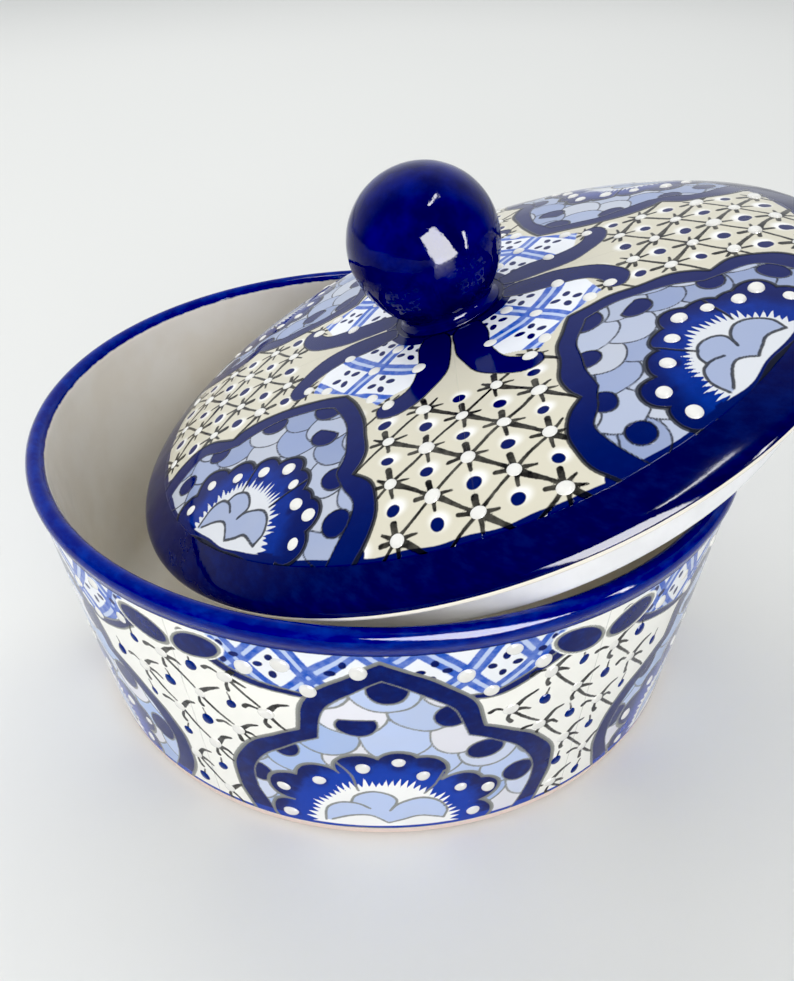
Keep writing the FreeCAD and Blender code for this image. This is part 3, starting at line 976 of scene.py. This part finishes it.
def painted_glaze(name, cobalt_noise, line_colour):
    """The painted tin glaze: each layer is drawn from its distance attribute."""
    nodes = Nodes(bpy.data.materials.new(name))
    ragged = nodes.noise(900.0, 3.0, 0.6)
    streak = nodes.noise(230.0, 4.0, 0.6)
    cloud = nodes.noise(55.0, 3.0)
    uneven = nodes.math("MULTIPLY_ADD", ragged, 0.5, -0.25)
    ground = nodes.attribute("ground", "Color")
    colour = nodes.mix(nodes.ramp(cloud, 0.35, 0.75, 0.0, 0.10), ground, linear(196, 196, 190))
    # How light the cobalt is; this includes the painted shade round the fan's dabs.
    bright = nodes.attribute("bright")
    lively = nodes.math("MULTIPLY_ADD", nodes.ramp(streak, 0.35, 0.7), cobalt_noise, bright)
    blue = nodes.mix(nodes.ramp(lively, 0.0, 1.15), NAVY, COBALT)
    thin = nodes.ramp(streak, 0.3, 0.72, 1.0, 0.7)
    faint = nodes.ramp(streak, 0.3, 0.75, 1.0, 0.88)
    covers = {}
    for layer, soft, rag, strength, paint in (
            ("brush", 0.28, 0.9, thin, BRUSH_BLUE), ("navy", 0.2, 0.5, 1.0, blue),
            ("line", 0.22, 0.8, 0.9, line_colour), ("ink", 0.2, 0.9, faint, INK)):
        worn = nodes.math("MULTIPLY_ADD", uneven, rag, nodes.attribute(layer))
        covers[layer] = nodes.ramp(worn, soft, -soft)
        colour = nodes.mix(nodes.math("MULTIPLY", covers[layer], strength), colour, paint)
    relief = nodes.math("ADD", covers["line"], covers["ink"])
    height = nodes.math("MULTIPLY_ADD", relief, 0.35, glaze_waves(nodes, 0.55))
    normal = nodes.bump(height, 0.35 * MM)
    return nodes.finish(colour, nodes.ramp(cloud, 0.3, 0.7, 0.07, 0.13), normal)


def banded_glaze(name, plain, painted, mottle, raw=None):
    """A plain glaze with a cobalt band, and bare clay where the raw attribute says."""
    nodes = Nodes(bpy.data.materials.new(name))
    edge = nodes.noise(240.0, 3.0, 0.55)
    cloud = nodes.noise(38.0, 3.0)
    streak = nodes.noise(150.0, 4.0, 0.6, (1.0, 1.0, 3.0))
    worn = nodes.math("MULTIPLY_ADD", edge, 1.1, nodes.attribute("paint"))
    share = nodes.ramp(worn, 0.95, 0.15)
    blue = nodes.mix(nodes.ramp(streak, 0.35, 0.75, 0.0, mottle), painted, COBALT)
    warm = dimmed(plain, 0.93, 0.9, 0.85)
    body = nodes.mix(nodes.ramp(cloud, 0.35, 0.7, 0.0, 0.6), plain, warm)
    colour = nodes.mix(share, body, blue)
    roughness = nodes.ramp(cloud, 0.3, 0.7, 0.06, 0.12)
    if raw:
        bare = nodes.ramp(nodes.math("MULTIPLY_ADD", edge, 0.8, nodes.attribute("raw")), 0.6, 0.2)
        grain = nodes.noise(1500.0, 4.0, 0.7)
        clay = nodes.mix(nodes.ramp(grain, 0.3, 0.7, 0.0, 0.5), raw, dimmed(raw, 0.8))
        colour = nodes.mix(bare, colour, clay)
        roughness = nodes.math("MULTIPLY_ADD", bare, 0.6, roughness)
    return nodes.finish(colour, roughness, nodes.bump(glaze_waves(nodes, 1.0), 0.4 * MM))


def plain_glaze(name, colour, other, scale=60.0, waves=1.0):
    """One glaze colour with soft clouds of a second one."""
    nodes = Nodes(bpy.data.materials.new(name))
    cloud = nodes.noise(scale, 4.0, 0.6)
    mixed = nodes.mix(nodes.ramp(cloud, 0.35, 0.72), colour, other)
    normal = nodes.bump(glaze_waves(nodes, waves), 0.4 * MM)
    return nodes.finish(mixed, nodes.ramp(cloud, 0.3, 0.7, 0.05, 0.1), normal)


def dress(piece, material):
    """Give a piece its material."""
    piece.data.materials.clear()
    piece.data.materials.append(material)


# ---- turned pots

def make_pots():
    """Fine turned meshes for the dish, lid, flange and knob."""
    coarse, fine, segments = 1.3, 0.8, 320
    dish, section = turned_object("dish_pot", "dish_body", "dish", coarse, segments)
    radius, height = section.T
    paint_foot = np.where(radius < RIM_MIDDLE, RIM_PAINT_INSIDE, RIM_PAINT_OUTSIDE)
    near_rim = height > 100.0
    store(dish, "paint", np.where(near_rim, paint_foot - height, CLEAR))
    outside = (radius > 120.0) | (height < WALL_FOOT)
    store(dish, "raw", np.where(outside, height - RAW_CLAY_TOP, CLEAR))
    dress(dish, banded_glaze("dish_glaze", CREAM, RIM_BLUE, 0.45, FOOT_CLAY))

    lid, section = turned_object("lid_plate", "lid_dome", "lid", coarse, segments)
    radius, height = section.T
    edge = (radius > LID_BAND - 0.5) & (height > 0.2 * (radius - 60.0) + 9.5)
    seat = (radius < KNOB_SEAT) & (height > KNOB_SEAT_HEIGHT)
    paint = np.where(edge, BAND_FOOT - height, CLEAR)
    store(lid, "paint", np.where(seat, KNOB_SEAT_PAINT, paint))
    dress(lid, banded_glaze("lid_glaze", CREAM, BAND_BLUE, 0.1))

    ring = turned_object("lid_ring", "lid_flange", "lid", fine, segments)[0]
    cream = plain_glaze("cream_glaze", FLANGE_WHITE, dimmed(FLANGE_WHITE, 0.93))
    dress(ring, cream)

    knob = turned_object("knob", "lid_knob", "lid", fine, segments // 2)[0]
    deep = plain_glaze("cobalt_glaze", linear(0, 3, 78), linear(1, 16, 116), 70.0, 1.6)
    dress(knob, deep)


# ---- raised dabs

def normal_at(point, body):
    """Outward direction of the dish's wall or the lid's top, in the body's own frame."""
    out = Vector((point[0], point[1], 0)).normalized()
    if body == "dish":
        return (out - Vector((0, 0, FLARE))).normalized()
    radius = math.hypot(point[0], point[1])
    slope = dome_heights(radius + 0.5) - dome_heights(radius - 0.5)
    return (Vector((0, 0, 1)) - out * slope).normalized()


def dab_mesh(base, rise, chance, drawn):
    """A slightly uneven rounded dab standing on the plane z = 0, drawn out along y."""
    rings, sides, sunk = 6, 18, 0.25
    stretch = chance.uniform(0.92, 1.12) / drawn
    skew = chance.uniform(-0.35, 0.35, 2)
    verts = []
    for ring in range(rings + 1):
        share = ring / rings
        lift = rise * math.sin(share * math.pi / 2) ** 0.8
        reach = base * (math.cos(share * math.pi / 2) ** 0.62 if ring < rings else 0.06)
        for side in range(sides):
            turn = 2 * math.pi * side / sides
            x = reach * stretch * math.cos(turn) + skew[0] * share
            y = reach / stretch * math.sin(turn) + skew[1] * share
            verts.append((x, y, lift - sunk))
    faces = []
    for ring in range(rings):
        for side in range(sides):
            nxt = (side + 1) % sides
            a, b = ring * sides, (ring + 1) * sides
            faces.append((a + side, a + nxt, b + nxt, b + side))
    faces.append(tuple(range(sides))[::-1])
    faces.append(tuple(range(rings * sides, (rings + 1) * sides)))
    return verts, faces


def dab_piece(kind, number, drawn, material, slot):
    """All dabs of one CAD node, as one piece of uneven glazed dabs."""
    body = "dish" if kind.startswith("dish") else "lid"
    node = "%s_%d" % (kind, number + 1)
    chance = np.random.default_rng(sum(map(ord, node)))
    points = DABS[kind][number]
    if body == "lid":
        points = in_lid_frame(points)
    base = DAB_SIZES[kind]
    verts, faces = [], []
    for point in points:
        normal = normal_at(point, body)
        up = (Vector((0, 0, 1)) - normal * normal.z).normalized()
        turn = Matrix((up.cross(normal), up, normal)).transposed()
        size = base * chance.uniform(0.88, 1.1)
        own, own_faces = dab_mesh(size, size * chance.uniform(0.55, 0.68), chance, drawn)
        foot = Vector(point) - normal * base * 0.3
        spin = Matrix.Rotation(chance.uniform(-0.6, 0.6), 3, "Z")
        start = len(verts)
        verts += [foot + turn @ (spin @ Vector(vert)) for vert in own]
        faces += [tuple(start + index for index in face) for face in own_faces]
    piece = make_object(node + "_glazed", verts, faces, body)
    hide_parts(node)
    dress(piece, material)


def make_dabs():
    """Every raised dab of slip."""
    white = plain_glaze("white_slip", BEAD_WHITE, dimmed(BEAD_WHITE, 0.94), 200.0, 0.5)
    blue = plain_glaze("blue_slip", BEAD_BLUE, linear(12, 52, 132), 350.0, 0.5)
    for kind, panels in DABS.items():
        look = (1.18, blue, "blue_slip") if "blue" in kind else (1.0, white, "white_slip")
        for number in range(len(panels)):
            dab_piece(kind, number, *look)


# ---- stage and camera

def make_stage():
    """A wide pale floor."""
    bpy.ops.mesh.primitive_plane_add(size=9.0, location=(0, 1.5, 0))
    floor = bpy.context.object
    floor.name = "floor"
    nodes = Nodes(bpy.data.materials.new("floor_paint"))
    cloud = nodes.noise(0.9, 2.0)
    colour = nodes.mix(nodes.ramp(cloud, 0.3, 0.7, 0.0, 0.25), STAGE_WHITE, linear(219, 220, 217))
    floor.data.materials.append(nodes.finish(colour, 1.0, shine=0.0))


def make_sky():
    """A sky that is bright high up behind the pot and dark low in front of it."""
    world = bpy.data.worlds.new("studio")
    bpy.context.scene.world = world
    nodes = Nodes(world)
    direction = nodes.make("ShaderNodeTexCoord").outputs["Generated"]
    lean = nodes.make("ShaderNodeVectorMath", operation="DOT_PRODUCT")
    nodes.feed(lean.inputs[0], direction)
    nodes.feed(lean.inputs[1], (-0.2, 0.75, 0.63))
    background = nodes.tree.nodes["Background"].inputs
    nodes.feed(background["Color"], (0.94, 0.97, 1.0))
    nodes.feed(background["Strength"], nodes.ramp(lean.outputs["Value"], -0.35, 0.75, 0.12, 0.84))


def add_light(name, place, aim, width, height, power, roll=0.0, shine=False):
    """A rectangular light turned to a point: a soft filler, or a window that only shines."""
    data = bpy.data.lights.new(name, "AREA")
    data.shape = "RECTANGLE"
    data.size = width
    data.size_y = height
    data.energy = power
    lamp = add_object(name, data)
    lamp.location = place
    direction = Vector(aim) - Vector(place)
    turn = direction.to_track_quat("-Z", "Y").to_matrix() @ Matrix.Rotation(roll, 3, "Z")
    lamp.rotation_euler = turn.to_euler()
    lamp.visible_camera = False
    lamp.visible_glossy = shine
    lamp.visible_diffuse = not shine


def make_lights():
    """Soft fillers above and beside the pot, and windows mirrored in the glaze."""
    middle = (0, 0, 0.1)
    knob = (0.0, 0.0, 0.2)
    add_light("sky_panel", (-0.3, 1.5, 1.9), middle, 2.2, 1.4, 20.0)
    add_light("side_panel", (-1.6, -0.4, 0.9), middle, 1.2, 1.2, 8.0)
    add_light("front_panel", (0.3, -1.7, 0.9), middle, 1.8, 1.2, 23.0)
    add_light("window", (0.237, -0.562, 0.314), knob, 0.32, 0.62, 22.0, 0.55, True)
    add_light("side_window", (1.3, -0.55, 0.42), middle, 0.12, 0.5, 7.0, 0.0, True)
    add_light("high_window", (0.25, -0.2, 1.5), middle, 0.5, 0.07, 4.0, 0.2, True)


def make_camera():
    """The camera, and the tone of the picture."""
    data = bpy.data.cameras.new("camera")
    camera = add_object("camera", data)
    data.sensor_fit = "HORIZONTAL"
    data.sensor_width = 36.0
    data.lens = 42.32
    data.clip_start = 0.02
    data.clip_end = 30.0
    forward = Vector((-0.031513, 0.819365, -0.572406)).normalized()
    right = Vector((0.999414, 0.033484, -0.007091))
    right = (right - forward * right.dot(forward)).normalized()
    upward = right.cross(forward)
    turn = Matrix((right, upward, -forward)).transposed()
    place = Vector((17.401, -332.032, 296.802)) * MM
    camera.matrix_world = Matrix.Translation(place) @ turn.to_4x4()
    bpy.context.scene.camera = camera
    view = bpy.context.scene.view_settings
    view.view_transform = "Standard"
    view.use_curve_mapping = True
    view.curve_mapping.black_level = (0.018, 0.018, 0.017)
    view.curve_mapping.update()


def make_paint():
    """The painted panels of the dish and the lid."""
    dish_paint = painted_glaze("dish_paint", 0.35, LINE_GREY)
    lid_paint = painted_glaze("lid_paint", 0.12, LINE_DARK)
    for panel in range(DISH_PANELS):
        dress(dish_panel(panel), dish_paint)
    for panel in range(LID_PANELS):
        dress(lid_panel(panel), lid_paint)


make_pots()
make_paint()
make_dabs()
make_stage()
make_sky()
make_lights()
make_camera()
bpy.context.view_layer.update()
